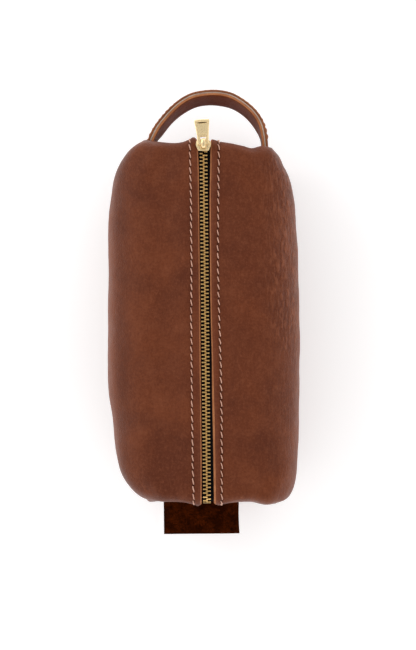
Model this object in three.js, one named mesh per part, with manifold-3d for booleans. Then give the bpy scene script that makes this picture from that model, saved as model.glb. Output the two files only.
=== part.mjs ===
// Shaving kit bag: one folded hide with boxed corners, a brass zip along the top,
// a sewn loop handle at one end and a plain leather tab at the other.
// Millimetres, +Z up, zip along Y, handle end +Y, base on z = 0.
import * as THREE from 'three';
import Module from 'manifold-3d';

const wasm = await Module();
wasm.setup();

// ---- hide ----
const HIDE = 2.0;               // leather thickness
const BASE_HALF_X = 54;         // flat part of the base
const BASE_HALF_Y = 112;
const SIDE_HALF_X = 68;         // widest, at mid-height
const END_Y = 127.5;            // end walls, at mid-height
const TOP_Z = 108;              // leather beside the zip
const FOLD_Z = 90;              // fold line between side walls and top flaps
const FOLD_X = 62.5;
const SLOT_HALF = 5.5;          // zip slot in the hide
const GAP = 0.3;                // running gap between neighbouring pieces
const SEAM_Z = 52;              // horizontal end seams
const TAPER_FROM = 50;          // the sides draw in towards the boxed ends from here
const TAPER = 0.11;

// ---- zip ----
const PITCH = 2.54;             // tooth pitch on one side
const ZIP_Z = 105.3;            // mid-plane of the chain on the top
const TOOTH_IN = 0.7;            // on the top, clear of the slider's post
const TOOTH_IN_END = 0.2;        // on the end walls, where no slider passes
const TOOTH_OUT = 3.1;
const TOOTH_ROOT = 2.1;
const TOOTH_THICK = 2.9;
const TAPE_IN = 3.4;
const TAPE_OUT = 14.0;
const TAPE_THICK = 0.6;
const PARK_Y = 112;             // beyond this the zip is held by the end walls
const BEND_Y = 122.5;           // the zip turns down here
const BEND_R = 2.4;
const ZIP_FOOT_Z = 56;          // end of the zip at the end seams

// ---- slider and pull ----
const SLIDER_TAIL = 115.2;
const SLIDER_NOSE = 124.2;       // upper wing, reaching over the bend
const SLIDER_FOOT_NOSE = 122.7;  // lower wing, short of the bend
const PLATE_TOP = 108.7;
const PLATE_THICK = 1.2;
const PULL_Y = 121;
const PULL_Z = 111.35;
const PULL_LENGTH = 16.8;
const PULL_DROOP = 10.5;        // degrees below level at rest, clear of the teeth all along

// ---- top stitching ----
const STITCH_X = 9.6;
const STITCH = 5.3;

// ---- handle ----
const STRAP_HIGH = 22;
const PLY = 1.9;
const HANDLE_PIVOT_Y = END_Y + GAP;
const HANDLE_PIVOT_Z = 64;
const HANDLE_DROOP = 10;        // degrees below level at rest
const STRAP_START = 11.5;       // moving strap starts this far off the wall
const FOOT_R = 11.2;

// ---- end tab ----
const TAB_X0 = -31;
const TAB_X1 = 23;
const TAB_THICK = 2.0;
const TAB_PIVOT_Y = -(END_Y + GAP);
const TAB_START = 2.0;
const TAB_LENGTH = 23.5;
const TAB_DROOP = 5;

const rad = (degrees) => degrees * Math.PI / 180;

function paint(color, roughness, metalness) {
  return new THREE.MeshStandardMaterial({ color, roughness, metalness });
}
const LEATHER = paint(0x6b3c2a, 0.55, 0);
const SUEDE = paint(0x3a1a0e, 0.95, 0);
const BRASS = paint(0xd8b16a, 0.3, 1);
const TAPE = paint(0x141416, 0.9, 0);
const THREAD = paint(0xd3a48c, 0.8, 0);

// ---- helpers ----
function meshFrom(points, faces) {
  const geometry = new THREE.BufferGeometry();
  geometry.setAttribute('position', new THREE.Float32BufferAttribute(points.flat(), 3));
  geometry.setIndex(faces.flat());
  return geometry;
}

// closed solid through rings of equal length; both ends are closed with a fan
function loft(rings) {
  const count = rings[0].length;
  const points = rings.flat();
  const faces = [];
  for (let r = 0; r + 1 < rings.length; r += 1) {
    for (let i = 0; i < count; i += 1) {
      const j = (i + 1) % count;
      const a = r * count + i;
      const b = r * count + j;
      const c = (r + 1) * count + j;
      const d = (r + 1) * count + i;
      faces.push([a, b, c], [a, c, d]);
    }
  }
  for (const [r, flip] of [[0, true], [rings.length - 1, false]]) {
    const middle = [0, 1, 2].map((k) => rings[r].reduce((sum, p) => sum + p[k], 0) / count);
    points.push(middle);
    const m = points.length - 1;
    for (let i = 0; i < count; i += 1) {
      const a = r * count + i;
      const b = r * count + (i + 1) % count;
      faces.push(flip ? [b, a, m] : [a, b, m]);
    }
  }
  return meshFrom(points, faces);
}

// ribbon of rectangular section along stations {x0, x1, y, z, ny, nz, t0, t1}
// (ny, nz) is the unit normal in the YZ plane, t0..t1 the thickness range along it
function ribbon(stations) {
  return loft(stations.map((s) => [
    [s.x0, s.y + s.ny * s.t0, s.z + s.nz * s.t0],
    [s.x1, s.y + s.ny * s.t0, s.z + s.nz * s.t0],
    [s.x1, s.y + s.ny * s.t1, s.z + s.nz * s.t1],
    [s.x0, s.y + s.ny * s.t1, s.z + s.nz * s.t1],
  ]));
}

function solid(geometry) {
  const clean = geometry.index ? geometry.clone() : geometry.clone();
  clean.deleteAttribute('normal');
  clean.deleteAttribute('uv');
  const merged = mergeByPosition(clean);
  const mesh = new wasm.Mesh({ numProp: 3, vertProperties: merged.points, triVerts: merged.faces });
  const made = new wasm.Manifold(mesh);
  if (made.volume() < 0) {
    throw new Error('solid is inside out');
  }
  return made;
}

function mergeByPosition(geometry) {
  const position = geometry.getAttribute('position');
  const index = geometry.index ? geometry.index.array : [...Array(position.count).keys()];
  const seen = new Map();
  const points = [];
  const map = [];
  for (let i = 0; i < position.count; i += 1) {
    const p = [position.getX(i), position.getY(i), position.getZ(i)];
    const key = p.map((v) => Math.round(v * 1e4)).join(',');
    if (!seen.has(key)) {
      seen.set(key, points.length / 3);
      points.push(...p);
    }
    map.push(seen.get(key));
  }
  const faces = [];
  for (let i = 0; i < index.length; i += 3) {
    const [a, b, c] = [map[index[i]], map[index[i + 1]], map[index[i + 2]]];
    if (a !== b && b !== c && c !== a) {
      faces.push(a, b, c);
    }
  }
  return { points: new Float32Array(points), faces: new Uint32Array(faces) };
}

function geometryOf(manifold) {
  const mesh = manifold.getMesh();
  const points = [];
  for (let i = 0; i < mesh.vertProperties.length; i += mesh.numProp) {
    points.push([mesh.vertProperties[i], mesh.vertProperties[i + 1], mesh.vertProperties[i + 2]]);
  }
  const faces = [];
  for (let i = 0; i < mesh.triVerts.length; i += 3) {
    faces.push([mesh.triVerts[i], mesh.triVerts[i + 1], mesh.triVerts[i + 2]]);
  }
  return meshFrom(points, faces);
}

function box(x0, x1, y0, y1, z0, z1) {
  const geometry = new THREE.BoxGeometry(x1 - x0, y1 - y0, z1 - z0);
  geometry.translate((x0 + x1) / 2, (y0 + y1) / 2, (z0 + z1) / 2);
  return solid(geometry);
}

function boxMesh(x0, x1, y0, y1, z0, z1) {
  const geometry = new THREE.BoxGeometry(x1 - x0, y1 - y0, z1 - z0);
  geometry.translate((x0 + x1) / 2, (y0 + y1) / 2, (z0 + z1) / 2);
  return geometry;
}

// turns a geometry about the X axis through (y, z)
function turnX(geometry, degrees, y, z) {
  geometry.translate(0, -y, -z);
  geometry.rotateX(rad(degrees));
  geometry.translate(0, y, z);
  return geometry;
}

const group = new THREE.Group();
function add(name, geometry, material) {
  const flat = geometry.index ? geometry.toNonIndexed() : geometry;
  flat.deleteAttribute('uv');
  flat.computeVertexNormals();
  const mesh = new THREE.Mesh(flat, material);
  mesh.name = name;
  group.add(mesh);
}

// ---- hide: plan outlines stacked from the base to the zip ----
const CORNER_STEPS = 7;
const STRAIGHT_X = 3;
const STRAIGHT_Y = 5;
function outline(halfX, halfY, radius, z) {
  const ring = [];
  const corners = [[1, 1, 0], [-1, 1, 90], [-1, -1, 180], [1, -1, 270]];
  corners.forEach(([sx, sy, start], k) => {
    const cx = sx * (halfX - radius);
    const cy = sy * (halfY - radius);
    for (let i = 0; i <= CORNER_STEPS; i += 1) {
      const a = rad(start + 90 * i / CORNER_STEPS);
      ring.push([cx + radius * Math.cos(a), cy + radius * Math.sin(a), z]);
    }
    const next = corners[(k + 1) % 4];
    const from = ring[ring.length - 1];
    const a = rad(next[2]);
    const to = [
      next[0] * (halfX - radius) + radius * Math.cos(a),
      next[1] * (halfY - radius) + radius * Math.sin(a),
    ];
    const steps = k % 2 === 0 ? STRAIGHT_X : STRAIGHT_Y;
    for (let i = 1; i < steps; i += 1) {
      const t = i / steps;
      ring.push([from[0] + (to[0] - from[0]) * t, from[1] + (to[1] - from[1]) * t, z]);
    }
  });
  const span = END_Y - TAPER_FROM;
  return ring.map(([x, y, h]) => {
    const t = Math.max(0, Math.abs(y) - TAPER_FROM) / span;
    return [x * (1 - TAPER * t * t), y, h];
  });
}

// height, half width, half length, corner radius
const LEVELS = [
  [0, BASE_HALF_X, BASE_HALF_Y, 15],
  [2, 59, 118, 17],
  [6, 62.5, 122, 19],
  [14, 65.5, 125, 21],
  [28, 67.3, 126.8, 22],
  [50, SIDE_HALF_X, END_Y, 23],
  [70, 67.4, END_Y, 23],
  [82, 65.4, END_Y, 23],
  [FOLD_Z, FOLD_X, END_Y, 23],
  [96, 57, 127.4, 24],
  [101, 48, 127.3, 21],
  [104.5, 37, 126.8, 17],
  [106.8, 25, 125.4, 12],
  [TOP_Z, 16, 122.8, 8],
];

function levelAt(z) {
  for (let i = 0; i + 1 < LEVELS.length; i += 1) {
    const [z0, ...low] = LEVELS[i];
    const [z1, ...high] = LEVELS[i + 1];
    if (z <= z1) {
      const t = (z - z0) / (z1 - z0);
      return low.map((v, k) => v + (high[k] - v) * t);
    }
  }
  return LEVELS[LEVELS.length - 1].slice(1);
}

const outer = solid(loft(LEVELS.map(([z, hx, hy, r]) => outline(hx, hy, r, z))));

// inner skin: the same outlines moved in by the leather, closed 2 mm inside base and top
const INNER = [
  [HIDE, 55, 114, 14],
  [6, 60, 119.6, 17],
  [14, 63.4, 122.9, 19],
  [28, 65.3, 124.8, 20],
  [50, SIDE_HALF_X - HIDE, END_Y - HIDE, 21],
  [70, 65.4, END_Y - HIDE, 21],
  [82, 63.2, END_Y - HIDE, 21],
  [FOLD_Z, 60, END_Y - HIDE, 21],
  [95, 54.4, END_Y - HIDE, 21],
  [99.4, 46.5, 125.45, 18],
  [102.6, 36, 125.4, 14],
  [104.8, 26, 124.9, 9],
  [TOP_Z - HIDE, 20, 123.2, 5],
];
const inner = solid(loft(INNER.map(([z, hx, hy, r]) => outline(hx, hy, r, z))));
const shell = outer.subtract(inner);
const slotted = shell.subtract(box(-SLOT_HALF, SLOT_HALF, -140, 140, SEAM_Z + 2, 120));

add('hide_lower_shell', geometryOf(slotted.intersect(box(-90, 90, -140, 140, -1, FOLD_Z))), LEATHER);
for (const [name, side] of [['left', -1], ['right', 1]]) {
  const x0 = side < 0 ? -90 : SLOT_HALF;
  const x1 = side < 0 ? -SLOT_HALF : 90;
  const flap = slotted.intersect(box(x0, x1, -140, 140, FOLD_Z + GAP, 120));
  add(`hide_top_${name}`, geometryOf(flap), LEATHER);
}

// ---- zip path over one end: top run, bend, down the end wall ----
// s = 0 at the parking line, end = +1 (handle end) or -1 (tab end)
const RUN = BEND_Y - PARK_Y;
const ARC = BEND_R * Math.PI / 2;
const DROP = ZIP_Z - BEND_R - ZIP_FOOT_Z;
function zipAt(s, end) {
  if (s <= RUN) {
    return { y: end * (PARK_Y + s), z: ZIP_Z, ny: 0, nz: 1 };
  }
  if (s <= RUN + ARC) {
    const a = (s - RUN) / BEND_R;
    return {
      y: end * (BEND_Y + BEND_R * Math.sin(a)),
      z: ZIP_Z - BEND_R + BEND_R * Math.cos(a),
      ny: end * Math.sin(a),
      nz: Math.cos(a),
    };
  }
  return { y: end * (BEND_Y + BEND_R), z: ZIP_Z - BEND_R - (s - RUN - ARC), ny: end, nz: 0 };
}
const BEND_STATIONS = [0, RUN];
for (let i = 1; i <= 5; i += 1) {
  BEND_STATIONS.push(RUN + ARC * i / 5);
}

function orient(geometry) {
  // rings may run either way round; keep the outside out
  const made = mergeByPosition(geometry);
  const p = made.points;
  let volume = 0;
  for (let i = 0; i < made.faces.length; i += 3) {
    const [a, b, c] = [made.faces[i] * 3, made.faces[i + 1] * 3, made.faces[i + 2] * 3];
    volume += p[a] * (p[b + 1] * p[c + 2] - p[b + 2] * p[c + 1]);
    volume -= p[a + 1] * (p[b] * p[c + 2] - p[b + 2] * p[c]);
    volume += p[a + 2] * (p[b] * p[c + 1] - p[b + 1] * p[c]);
  }
  if (volume < 0) {
    const array = geometry.index.array;
    for (let i = 0; i < array.length; i += 3) {
      const keep = array[i + 1];
      array[i + 1] = array[i + 2];
      array[i + 2] = keep;
    }
  }
  return geometry;
}

function endRibbon(x0, x1, t0, t1, end, sEnd) {
  const stations = [...BEND_STATIONS, sEnd].map((s) => ({ x0, x1, t0, t1, ...zipAt(s, end) }));
  return orient(ribbon(stations));
}

const HALF_TAPE = TAPE_THICK / 2;
const HALF_TOOTH = TOOTH_THICK / 2;
for (const [endName, end] of [['handle_end', 1], ['tab_end', -1]]) {
  // tape: one strip each side of the teeth, joined below the last tooth
  const sTape = RUN + ARC + DROP;
  const strips = [-1, 1].map((side) => {
    const x0 = side < 0 ? -TAPE_OUT : TAPE_IN;
    const x1 = side < 0 ? -TAPE_IN : TAPE_OUT;
    return solid(endRibbon(x0, x1, -HALF_TAPE, HALF_TAPE, end, sTape));
  });
  const yWall = end * (BEND_Y + BEND_R);
  const foot = box(-TAPE_OUT, TAPE_OUT, yWall - HALF_TAPE, yWall + HALF_TAPE, ZIP_FOOT_Z - 2.4, ZIP_FOOT_Z + 0.4);
  const tape = strips[0].add(strips[1]).add(foot);
  add(`zip_tape_${endName}`, geometryOf(tape), TAPE);

  // teeth: a bead along the tape edge with one tooth per pitch
  for (const [sideName, side] of [['left', -1], ['right', 1]]) {
    const x0 = side < 0 ? -TOOTH_OUT : TOOTH_ROOT;
    const x1 = side < 0 ? -TOOTH_ROOT : TOOTH_OUT;
    const sTeeth = sTape - 2.2;
    let comb = solid(endRibbon(x0, x1, -HALF_TOOTH, HALF_TOOTH, end, sTeeth));
    const count = Math.floor((sTeeth - 0.4) / PITCH);
    for (let i = 0; i < count; i += 1) {
      const s = 0.7 + i * PITCH + (side > 0 ? PITCH / 2 : 0);
      if (s > sTeeth - 0.9) {
        continue;
      }
      if (s > RUN - 0.6 && s < RUN + ARC + 0.6) {
        continue;
      }
      const at = zipAt(s, end);
      const flat = at.nz > 0.5;
      const dy = flat ? 0.62 : HALF_TOOTH;
      const dz = flat ? HALF_TOOTH : 0.62;
      const tip = flat ? TOOTH_IN : TOOTH_IN_END;
      const tx0 = side < 0 ? -TOOTH_ROOT - 0.2 : tip;
      const tx1 = side < 0 ? -tip : TOOTH_ROOT + 0.2;
      comb = comb.add(box(tx0, tx1, at.y - dy, at.y + dy, at.z - dz, at.z + dz));
    }
    add(`zip_teeth_${endName}_${sideName}`, geometryOf(comb), BRASS);
  }
}

// ---- zip on the flaps ----
for (const [sideName, side] of [['left', -1], ['right', 1]]) {
  const runEnd = PARK_Y - GAP;
  const tx0 = side < 0 ? -TAPE_OUT : TAPE_IN;
  const tx1 = side < 0 ? -TAPE_IN : TAPE_OUT;
  const tape = boxMesh(tx0, tx1, -runEnd, runEnd, ZIP_Z - HALF_TAPE, ZIP_Z + HALF_TAPE);
  add(`zip_tape_${sideName}`, tape, TAPE);

  const shape = new THREE.Shape();
  shape.moveTo(side * TOOTH_OUT, -runEnd);
  shape.lineTo(side * TOOTH_ROOT, -runEnd);
  const first = -runEnd + 0.5 + (side > 0 ? PITCH / 2 : 0);
  const teeth = Math.floor((2 * runEnd - PITCH) / PITCH);
  for (let i = 0; i < teeth; i += 1) {
    const y = first + i * PITCH;
    shape.lineTo(side * TOOTH_ROOT, y);
    shape.lineTo(side * TOOTH_IN, y);
    shape.lineTo(side * TOOTH_IN, y + 1.24);
    shape.lineTo(side * TOOTH_ROOT, y + 1.24);
  }
  shape.lineTo(side * TOOTH_ROOT, runEnd);
  shape.lineTo(side * TOOTH_OUT, runEnd);
  const comb = new THREE.ExtrudeGeometry(shape, { depth: TOOTH_THICK, bevelEnabled: false });
  comb.translate(0, 0, ZIP_Z - HALF_TOOTH);
  add(`zip_teeth_${sideName}`, comb, BRASS);
}

// ---- top stitching: one continuous thread per row, lying on the leather ----
function threadRibbon(x, path) {
  // path: stations {y, z, ny, nz} at every hole and every stitch middle
  return orient(ribbon(path.map((p, i) => {
    const high = i % 2 === 1;
    return {
      ...p,
      x0: x - 0.45,
      x1: x + 0.45,
      t0: high ? 0.45 : 0.3,
      t1: high ? 1.1 : 0.65,
    };
  })));
}
for (const [sideName, side] of [['left', -1], ['right', 1]]) {
  const count = Math.floor(2 * (BEND_Y - 1.5) / STITCH);
  const half = count * STITCH / 2;
  const path = [];
  for (let i = 0; i <= 2 * count; i += 1) {
    path.push({ y: -half + i * STITCH / 2, z: TOP_Z, ny: 0, nz: 1 });
  }
  add(`stitch_row_${sideName}`, threadRibbon(side * STITCH_X, path), THREAD);

  for (const [endName, end] of [['handle_end', 1], ['tab_end', -1]]) {
    const down = [];
    for (let i = 0; i <= 12; i += 1) {
      const z = FOLD_Z - 1.2 - i * STITCH / 2;
      down.push({ y: end * (levelAt(z)[1] + 0.05), z, ny: end, nz: 0 });
    }
    add(`stitch_row_${endName}_${sideName}`, threadRibbon(side * STITCH_X, down), THREAD);
  }
}

// ---- slider: two wings, a post between them and a bail for the pull ----
function plate(points, z0, z1) {
  const shape = new THREE.Shape(points.map(([x, y]) => new THREE.Vector2(x, y)));
  const geometry = new THREE.ExtrudeGeometry(shape, { depth: z1 - z0, bevelEnabled: false });
  geometry.translate(0, 0, z0);
  return solid(geometry);
}
function wing(nose) {
  const half = [
    [3.7, SLIDER_TAIL], [4.0, SLIDER_TAIL + 1.2], [5.1, SLIDER_TAIL + 3.6], [5.1, nose - 2.6],
    [4.5, nose - 1.0], [3.2, nose],
  ];
  return [...half, ...half.slice().reverse().map(([x, y]) => [-x, y])];
}
const LOW_TOP = ZIP_Z - HALF_TOOTH - 0.3;
const upperWing = plate(wing(SLIDER_NOSE), PLATE_TOP - PLATE_THICK, PLATE_TOP);
const lowerWing = plate(wing(SLIDER_FOOT_NOSE), LOW_TOP - PLATE_THICK, LOW_TOP);
const POST = [[-0.45, 118.6], [0, 117.4], [0.45, 118.6], [0.45, 120.4], [0, 121.6], [-0.45, 120.4]];
const post = plate(POST, LOW_TOP - 0.5, PLATE_TOP - 0.5);
const BAIL_HALF = 3.2;
const BAIL_TOP = 113.9;
const bailShape = new THREE.Shape([
  new THREE.Vector2(-BAIL_HALF, PLATE_TOP - 0.4),
  new THREE.Vector2(-BAIL_HALF, 112.7),
  new THREE.Vector2(-BAIL_HALF + 1.2, BAIL_TOP),
  new THREE.Vector2(BAIL_HALF - 1.2, BAIL_TOP),
  new THREE.Vector2(BAIL_HALF, 112.7),
  new THREE.Vector2(BAIL_HALF, PLATE_TOP - 0.4),
  new THREE.Vector2(BAIL_HALF - 1.1, PLATE_TOP - 0.4),
  new THREE.Vector2(BAIL_HALF - 1.1, 112.3),
  new THREE.Vector2(BAIL_HALF - 1.6, 112.8),
  new THREE.Vector2(-BAIL_HALF + 1.6, 112.8),
  new THREE.Vector2(-BAIL_HALF + 1.1, 112.3),
  new THREE.Vector2(-BAIL_HALF + 1.1, PLATE_TOP - 0.4),
]);
const bailGeometry = new THREE.ExtrudeGeometry(bailShape, { depth: 2.2, bevelEnabled: false });
bailGeometry.translate(0, 0, -1.1);
// extruded along Z with the outline in XY; stand it up so the outline lies in YZ
bailGeometry.rotateX(Math.PI / 2);
bailGeometry.rotateZ(Math.PI / 2);
bailGeometry.translate(0, PULL_Y, 0);
const slider = upperWing.add(lowerWing).add(post).add(solid(bailGeometry));
add('slider_body', geometryOf(slider), BRASS);

// ---- pull: a flat plate with an eye round the bail and a slot near its tip ----
function pullShape() {
  const half = [[-0.8, 3.4], [0.2, 3.8], [6, 4.0], [11, 4.6], [15.8, 5.2], [PULL_LENGTH, 4.3]];
  const rim = [...half, ...half.slice().reverse().map(([l, w]) => [l, -w])];
  const shape = new THREE.Shape(rim.map(([l, w]) => new THREE.Vector2(w, l)));
  const eye = new THREE.Path([[0.85, 1.6], [5.0, 1.6], [5.0, -1.6], [0.85, -1.6]]
    .map(([l, w]) => new THREE.Vector2(w, l)));
  const slot = new THREE.Path([[13.2, 3.2], [14.8, 3.2], [14.8, -3.2], [13.2, -3.2]]
    .map(([l, w]) => new THREE.Vector2(w, l)));
  shape.holes.push(eye, slot);
  return shape;
}
const pull = new THREE.ExtrudeGeometry(pullShape(), { depth: 1.5, bevelEnabled: false });
pull.translate(0, PULL_Y, PULL_Z - 0.75);
turnX(pull, -PULL_DROOP, PULL_Y, PULL_Z);
add('pull_tab', pull, BRASS);

// ---- handle: two plies on edge, following one path from corner seam to corner seam ----
const PATH = new THREE.CatmullRomCurve3([
  [-41.5, 126.5], [-38.5, 132], [-33, 141.5], [-27, 149.5], [-17.5, 157.5], [-3, 162.8],
  [7, 164], [22, 160.8], [33, 152.5], [39.5, 143.5], [43, 134.5], [44.3, 126.5],
].map(([x, y]) => new THREE.Vector3(x, y, 0)), false, 'centripetal');
const SPLITS = 44;
const spine = PATH.getSpacedPoints(SPLITS);
function offsetLine(distance) {
  return spine.map((p, i) => {
    const a = spine[Math.max(0, i - 1)];
    const b = spine[Math.min(SPLITS, i + 1)];
    const length = Math.hypot(b.x - a.x, b.y - a.y);
    const nx = (b.y - a.y) / length;
    const ny = -(b.x - a.x) / length;
    return new THREE.Vector2(p.x + nx * distance, p.y + ny * distance);
  });
}
function band(near, far, z0, z1) {
  const shape = new THREE.Shape([...offsetLine(near), ...offsetLine(far).reverse()]);
  const geometry = new THREE.ExtrudeGeometry(shape, { depth: z1 - z0, bevelEnabled: false });
  geometry.translate(0, 0, z0);
  return geometry;
}
const STRAP_LOW = HANDLE_PIVOT_Z - STRAP_HIGH / 2;
const STRAP_TOP = HANDLE_PIVOT_Z + STRAP_HIGH / 2;
const clearOfWall = box(-80, 80, HANDLE_PIVOT_Y + STRAP_START, 200, 0, 120);
function moving(geometry) {
  const cut = geometryOf(solid(geometry).intersect(clearOfWall));
  return turnX(cut, -HANDLE_DROOP, HANDLE_PIVOT_Y, HANDLE_PIVOT_Z);
}
add('handle_outer_ply', moving(band(0, PLY, STRAP_LOW, STRAP_TOP)), LEATHER);
add('handle_inner_ply', moving(band(PLY + GAP, 2 * PLY + GAP, STRAP_LOW, STRAP_TOP)), LEATHER);
for (const [name, z] of [['upper', STRAP_TOP - 3], ['lower', STRAP_LOW + 3]]) {
  add(`handle_stitch_${name}`, moving(band(-0.95, -GAP, z - 0.45, z + 0.45)), THREAD);
}
const disc = new THREE.CylinderGeometry(FOOT_R, FOOT_R, 160, 28);
disc.rotateZ(Math.PI / 2);
disc.translate(0, HANDLE_PIVOT_Y, HANDLE_PIVOT_Z);
const feet = solid(band(0, 2 * PLY + GAP, STRAP_LOW + 0.2, STRAP_TOP - 0.2))
  .intersect(solid(disc))
  .intersect(box(-80, 80, HANDLE_PIVOT_Y, 200, 0, 120));
add('handle_foot_left', geometryOf(feet.intersect(box(-80, 0, 100, 200, 0, 120))), LEATHER);
add('handle_foot_right', geometryOf(feet.intersect(box(0, 80, 100, 200, 0, 120))), LEATHER);

// ---- end tab: one raw-edged strip, flesh side up ----
const tab = boxMesh(
  TAB_X0, TAB_X1,
  TAB_PIVOT_Y - TAB_LENGTH, TAB_PIVOT_Y - TAB_START,
  SEAM_Z - TAB_THICK / 2, SEAM_Z + TAB_THICK / 2,
);
turnX(tab, TAB_DROOP, TAB_PIVOT_Y, SEAM_Z);
add('end_tab', tab, SUEDE);

export default group;
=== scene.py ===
import bpy, math
import numpy as np
from mathutils import Matrix, Vector


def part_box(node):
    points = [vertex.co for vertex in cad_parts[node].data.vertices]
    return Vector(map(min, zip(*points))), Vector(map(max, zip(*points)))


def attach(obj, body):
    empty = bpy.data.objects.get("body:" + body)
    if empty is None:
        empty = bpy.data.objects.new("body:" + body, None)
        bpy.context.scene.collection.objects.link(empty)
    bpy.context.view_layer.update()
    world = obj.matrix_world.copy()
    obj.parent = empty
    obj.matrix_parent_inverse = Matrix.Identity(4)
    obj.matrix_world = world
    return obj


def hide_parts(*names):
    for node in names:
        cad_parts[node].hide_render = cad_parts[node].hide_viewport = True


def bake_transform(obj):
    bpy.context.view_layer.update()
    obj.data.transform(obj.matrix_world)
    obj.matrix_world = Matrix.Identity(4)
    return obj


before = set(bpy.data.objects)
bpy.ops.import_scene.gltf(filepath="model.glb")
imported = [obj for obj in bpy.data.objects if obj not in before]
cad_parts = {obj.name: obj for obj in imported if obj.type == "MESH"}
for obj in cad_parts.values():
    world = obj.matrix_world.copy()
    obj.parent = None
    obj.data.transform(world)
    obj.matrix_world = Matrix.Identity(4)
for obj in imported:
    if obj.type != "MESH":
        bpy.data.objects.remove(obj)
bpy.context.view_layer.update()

# Lengths are in millimetres, and meshes are scaled to metres when they are made. The studio is in metres.
MM = 0.001
TOP, MID, SEAM = 108.0, 54.0, 52.0      # leather by the zip, widest level, end seams
END = 126.0                             # nominal end of the body, before the corners are drawn
HIDE = 2.0
STITCH = 5.3
ZIP_Z, ZIP_FOOT = 105.3, 56.0
BEND_Y = {1: 120.2, -1: 116.8}          # where the zip turns down at each end
BEND_R = {1: 2.4, -1: 6.0}              # and how tightly
PIVOT_Y, PIVOT_Z = 127.8, 64.0          # handle hinge


# ---------------------------------------------------------------- small maths
def smooth(t):
    t = np.clip(t, 0, 1)
    return t * t * (3 - 2 * t)


def hump(x, centre, width):
    return np.exp(-(((x - centre) / width) ** 2))


def through(points):
    """Smooth curve through a few points that never overshoots them."""
    px = np.array([p[0] for p in points], float)
    py = np.array([p[1] for p in points], float)
    h = np.diff(px)
    slope = np.diff(py) / h
    d = np.zeros(len(px))
    for i in range(1, len(px) - 1):
        if slope[i - 1] * slope[i] > 0:
            a, b = 2 * h[i] + h[i - 1], h[i] + 2 * h[i - 1]
            d[i] = (a + b) / (a / slope[i - 1] + b / slope[i])
    d[0], d[-1] = slope[0], slope[-1]

    def f(x):
        x = np.clip(np.asarray(x, float), px[0], px[-1])
        i = np.clip(np.searchsorted(px, x, side="right") - 1, 0, len(px) - 2)
        t = (x - px[i]) / h[i]
        return ((1 + 2 * t) * (1 - t) ** 2 * py[i] + t * (1 - t) ** 2 * h[i] * d[i]
                + t * t * (3 - 2 * t) * py[i + 1] + t * t * (t - 1) * h[i] * d[i + 1])
    return f


def ripple(x, y, z, size, seed):
    """Soft seeded unevenness of about -1..1, with features of the given size."""
    rng = np.random.default_rng(seed)
    total = 0
    for _ in range(7):
        k = rng.normal(size=3)
        k = k / np.linalg.norm(k) * rng.uniform(0.6, 1.5) * 2 * math.pi / size
        total = total + np.sin(k[0] * x + k[1] * y + k[2] * z + rng.uniform(0, 6.28))
    return total / 4


# ---------------------------------------------------------------- making meshes
def new_mesh(name, points, faces, materials, index=None, soft=True, check=True):
    points = np.asarray(points, float).reshape(-1, 3)
    data = bpy.data.meshes.new(name)
    data.from_pydata((points * MM).tolist(), [], [list(map(int, f)) for f in faces])
    rest = data.attributes.new("rest", "FLOAT_VECTOR", "POINT")
    rest.data.foreach_set("vector", points.astype(np.float32).ravel())
    for m in materials:
        data.materials.append(m)
    if index is not None:
        data.polygons.foreach_set("material_index", np.asarray(index, np.int32))
    data.polygons.foreach_set("use_smooth", np.full(len(data.polygons), soft))
    if check:
        data.validate()
    data.update()
    obj = bpy.data.objects.new(name, data)
    bpy.context.scene.collection.objects.link(obj)
    return obj


class Parts:
    """Collects many small solids into one mesh."""

    def __init__(self):
        self.points, self.faces, self.index, self.count = [], [], [], 0

    def add(self, points, faces, material=0):
        points = np.asarray(points, float).reshape(-1, 3)
        self.points.append(points)
        self.faces += [[v + self.count for v in f] for f in faces]
        self.index += [material] * len(faces)
        self.count += len(points)

    def rings(self, rings):
        """Solid through equal rings of points, capped at both ends."""
        n, m = len(rings), len(rings[0])
        faces = []
        for r in range(n - 1):
            for i in range(m):
                j = (i + 1) % m
                faces.append([r * m + i, r * m + j, (r + 1) * m + j, (r + 1) * m + i])
        faces.append(list(range(m))[::-1])
        faces.append([(n - 1) * m + i for i in range(m)])
        self.add(np.array(rings), faces)

    def make(self, name, materials, soft=True):
        return new_mesh(name, np.concatenate(self.points), self.faces, materials, self.index, soft)


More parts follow.
